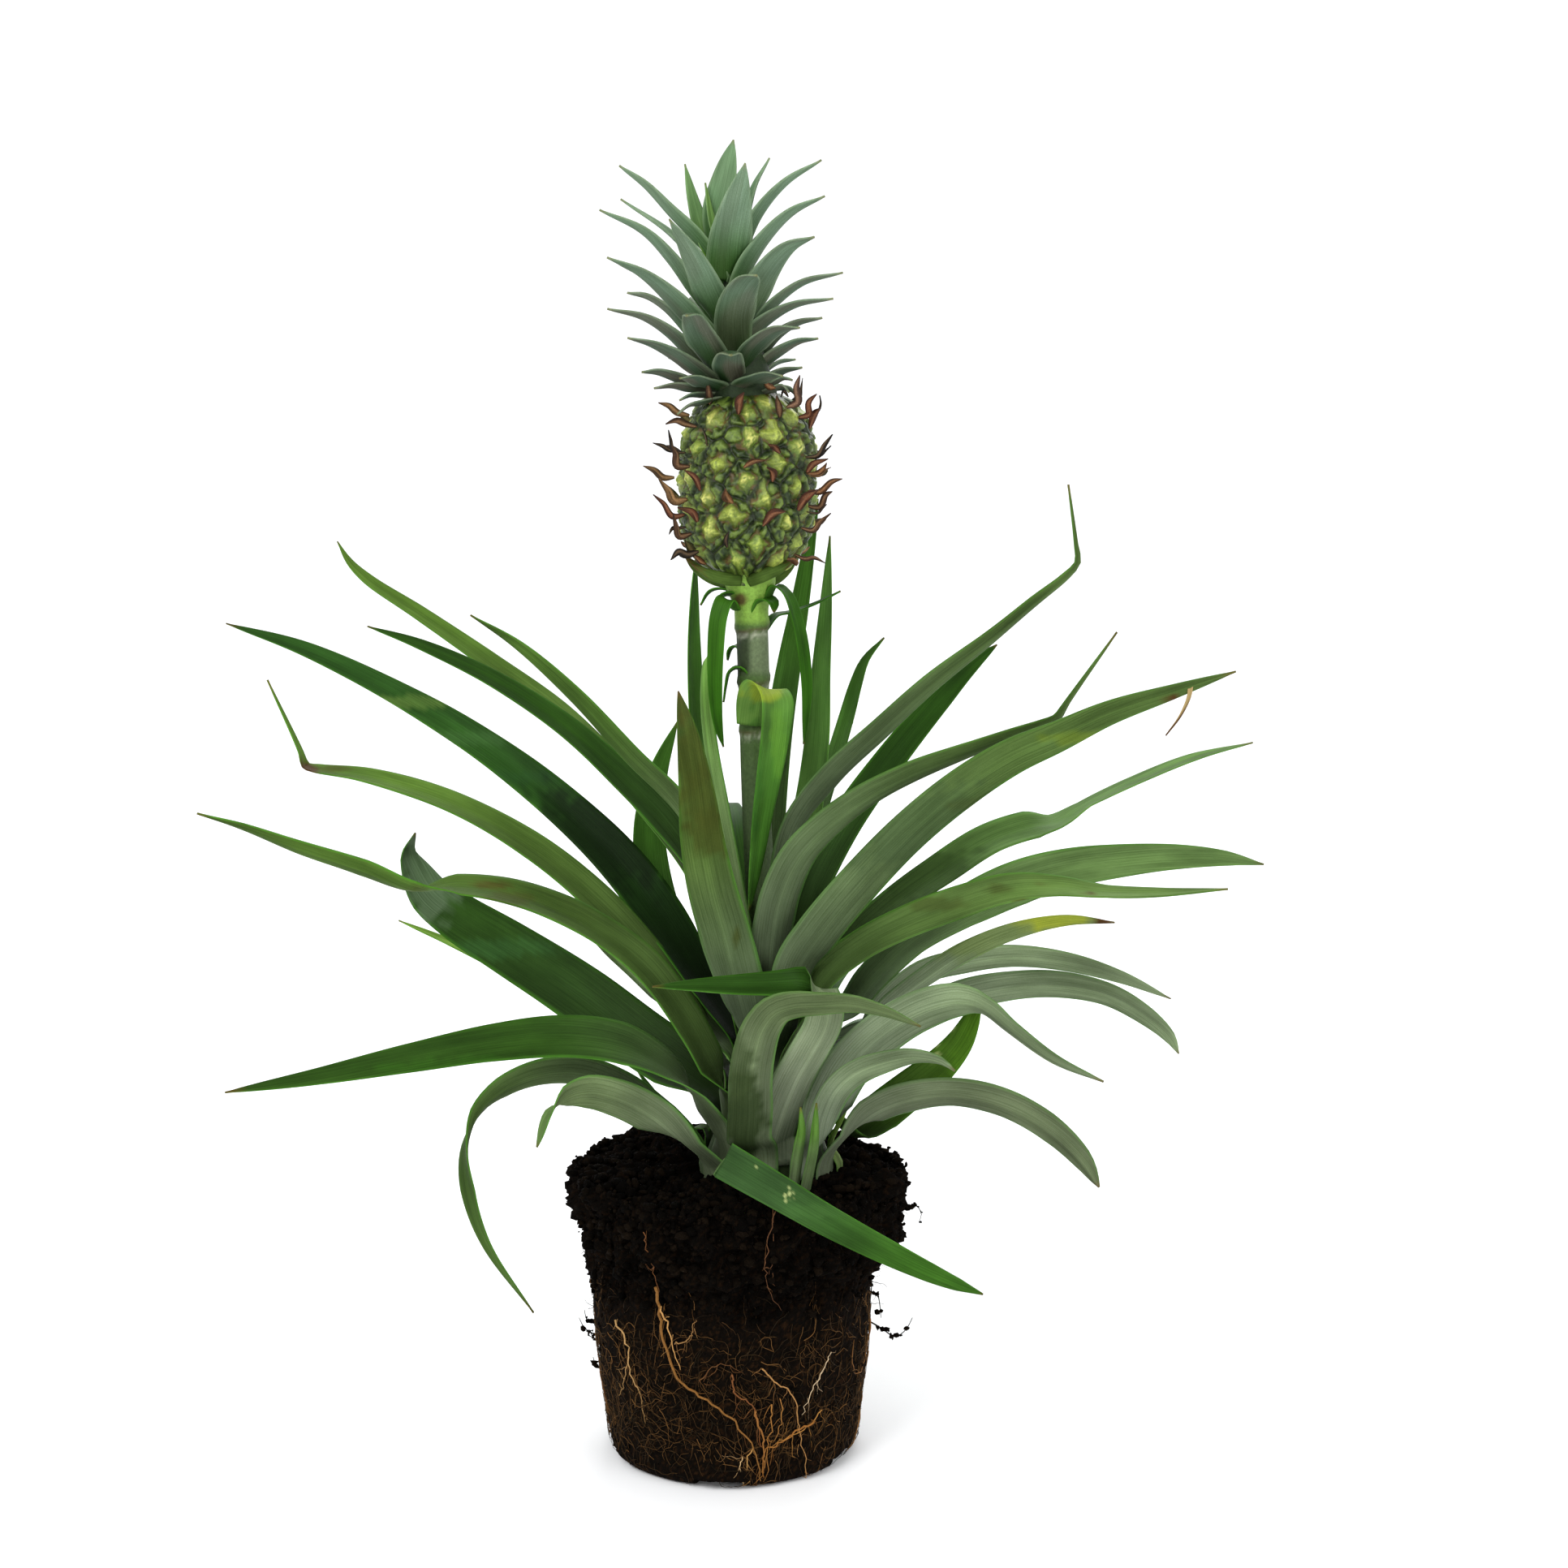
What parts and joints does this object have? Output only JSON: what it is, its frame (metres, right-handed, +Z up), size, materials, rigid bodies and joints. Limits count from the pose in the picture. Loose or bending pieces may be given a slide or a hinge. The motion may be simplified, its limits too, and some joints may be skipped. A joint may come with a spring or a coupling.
{
  "type": "pineapple plant",
  "caption": "Ornamental pineapple plant out of its pot: pot-shaped root ball, rosette of long channelled leaves, and a stalk with one spiny fruit and its leafy crown.",
  "frame": {"origin": "centre of the root ball's flat underside", "axes": "+Z up along the root ball's axis, -Y towards the viewer of the picture, +X to the viewer's right"},
  "size_m": [0.4084, 0.2597, 0.4711],
  "materials": {
    "soil": "dark crumbly potting soil bound by brown roots, matt",
    "stalk": "green flower stalk with grey leaf scars, satin",
    "fruit": "yellow-green eyes with dried red-brown tips, satin",
    "crown": "blue-green blades with a grey bloom",
    "bract": "bright green blade, satin",
    "leaf": "dark green upper side, grey scurf under, satin"
  },
  "bodies": {
    "root": {"root_ball": "soil", "stem": "stalk", "fruit": "fruit", "crown": "crown", "bract_left": "bract", "bract_front": "bract", "bract_right": "bract", "leaf_01": "leaf", "leaf_02": "leaf", "leaf_03": "leaf", "leaf_04": "leaf", "leaf_05": "leaf", "leaf_06": "leaf", "leaf_07": "leaf", "leaf_08": "leaf", "leaf_09": "leaf", "leaf_10": "leaf", "leaf_11": "leaf", "leaf_12": "leaf", "leaf_13": "leaf", "leaf_14": "leaf", "leaf_15": "leaf", "leaf_16": "leaf", "leaf_17": "leaf", "leaf_18": "leaf", "leaf_19": "leaf", "leaf_20": "leaf", "leaf_21": "leaf", "leaf_22": "leaf", "leaf_23": "leaf", "leaf_24": "leaf", "leaf_25": "leaf", "leaf_26": "leaf", "leaf_27": "leaf", "leaf_28": "leaf", "leaf_29": "leaf", "leaf_30": "leaf", "leaf_31": "leaf", "leaf_32": "leaf", "leaf_33": "leaf", "leaf_34": "leaf", "leaf_35": "leaf", "leaf_36": "leaf", "leaf_37": "leaf", "leaf_38": "leaf", "leaf_39": "leaf", "leaf_40": "leaf", "leaf_41": "leaf", "leaf_42": "leaf", "leaf_43": "leaf", "leaf_44": "leaf", "leaf_45": "leaf", "leaf_46": "leaf", "leaf_47": "leaf", "leaf_48": "leaf", "leaf_49": "leaf", "leaf_50": "leaf"}
  },
  "joints": []
}
